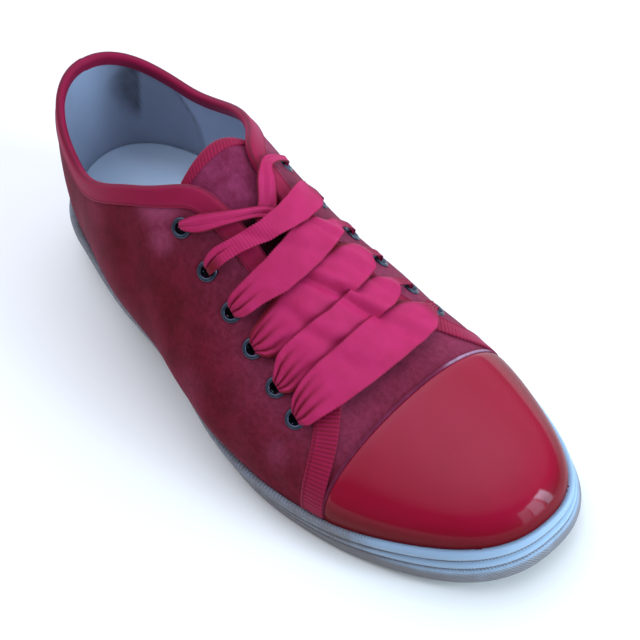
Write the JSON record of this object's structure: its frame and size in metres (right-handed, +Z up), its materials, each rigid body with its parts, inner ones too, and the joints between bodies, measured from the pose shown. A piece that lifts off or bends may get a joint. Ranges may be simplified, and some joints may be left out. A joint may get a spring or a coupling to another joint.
{
  "type": "low-top lace-up sneaker",
  "caption": "Right low-top sneaker with rubber cupsole, suede upper, glossy toe cap, ribbon-bound collar and wide flat ribbon lace.",
  "frame": {"origin": "on the floor, in the middle of the sole's footprint", "axes": "+X from heel to toe, +Y to the inner (medial) side, +Z up"},
  "size_m": [0.2918, 0.1156, 0.0994],
  "materials": {
    "white_rubber": "satin, lightly soiled",
    "footbed_fabric": "matte",
    "burgundy_suede": "matte suede",
    "red_patent": "glossy patent",
    "red_ribbon": "satin grosgrain",
    "gunmetal": "dark plated metal"
  },
  "bodies": {
    "root": {"outsole": "white_rubber", "insole": "footbed_fabric", "upper": "burgundy_suede", "toe_cap": "red_patent", "tongue": "burgundy_suede", "collar_binding": "red_ribbon", "eyelet_lateral_1": "gunmetal", "eyelet_lateral_2": "gunmetal", "eyelet_lateral_3": "gunmetal", "eyelet_lateral_4": "gunmetal", "eyelet_lateral_5": "gunmetal", "eyelet_lateral_6": "gunmetal", "eyelet_medial_1": "gunmetal", "eyelet_medial_2": "gunmetal", "eyelet_medial_3": "gunmetal", "eyelet_medial_4": "gunmetal", "eyelet_medial_5": "gunmetal", "eyelet_medial_6": "gunmetal", "lace": "red_ribbon", "lace_end_lateral": "red_ribbon", "lace_end_medial": "red_ribbon"}
  },
  "joints": []
}
